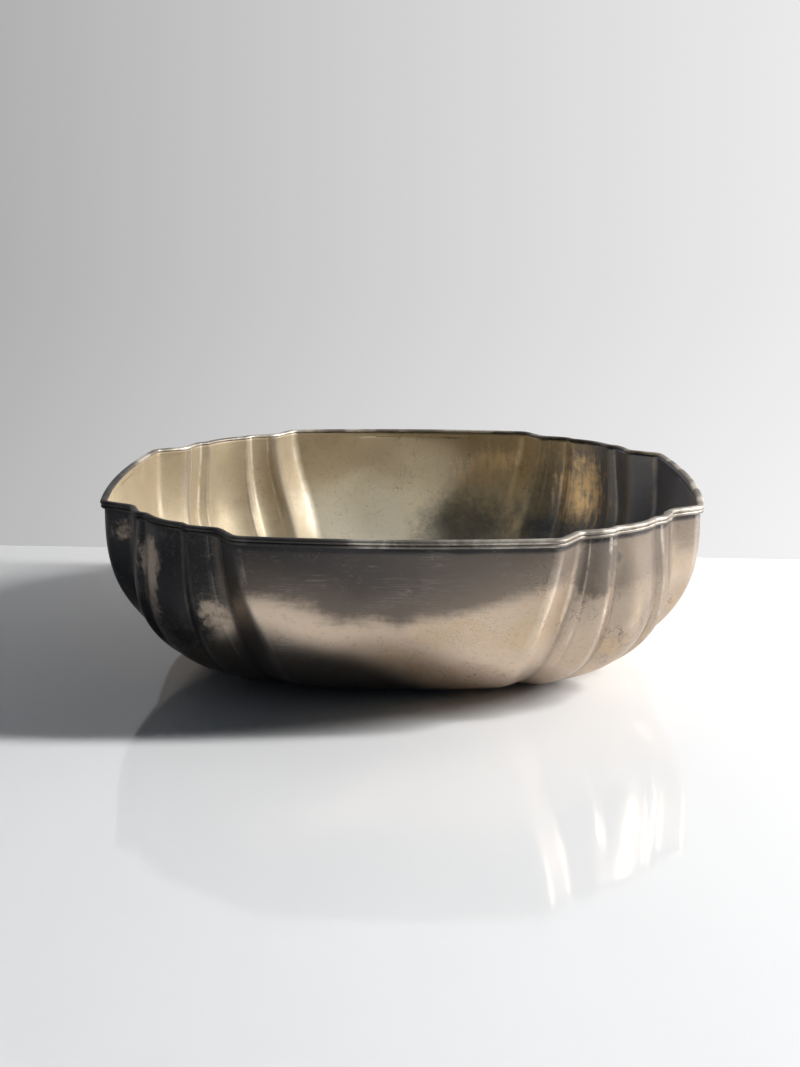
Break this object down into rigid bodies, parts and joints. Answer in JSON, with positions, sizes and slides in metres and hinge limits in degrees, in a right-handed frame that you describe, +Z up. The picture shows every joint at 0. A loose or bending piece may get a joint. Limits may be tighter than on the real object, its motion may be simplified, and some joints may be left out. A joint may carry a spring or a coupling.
{
  "type": "square lobed metal bowl",
  "caption": "Open square serving bowl with gently bowed sides, stepped lobed corners, a round flat base and a moulded bead rim.",
  "frame": {"origin": "middle of the flat underside, on the surface the bowl rests on", "axes": "+Z up out of the bowl's mouth, +X and +Y square to the long sides; -Y is the side that faces the viewer in the picture"},
  "size_m": [0.25, 0.25, 0.0742],
  "materials": {
    "tarnished_silver_plate": "tarnished silver plate over base metal, satin with fine scratches",
    "polished_silver_plate": "silver plate over base metal, worn bright on the bead"
  },
  "bodies": {
    "root": {"bowl_body": "tarnished_silver_plate", "rim_wire": "polished_silver_plate"}
  },
  "joints": []
}
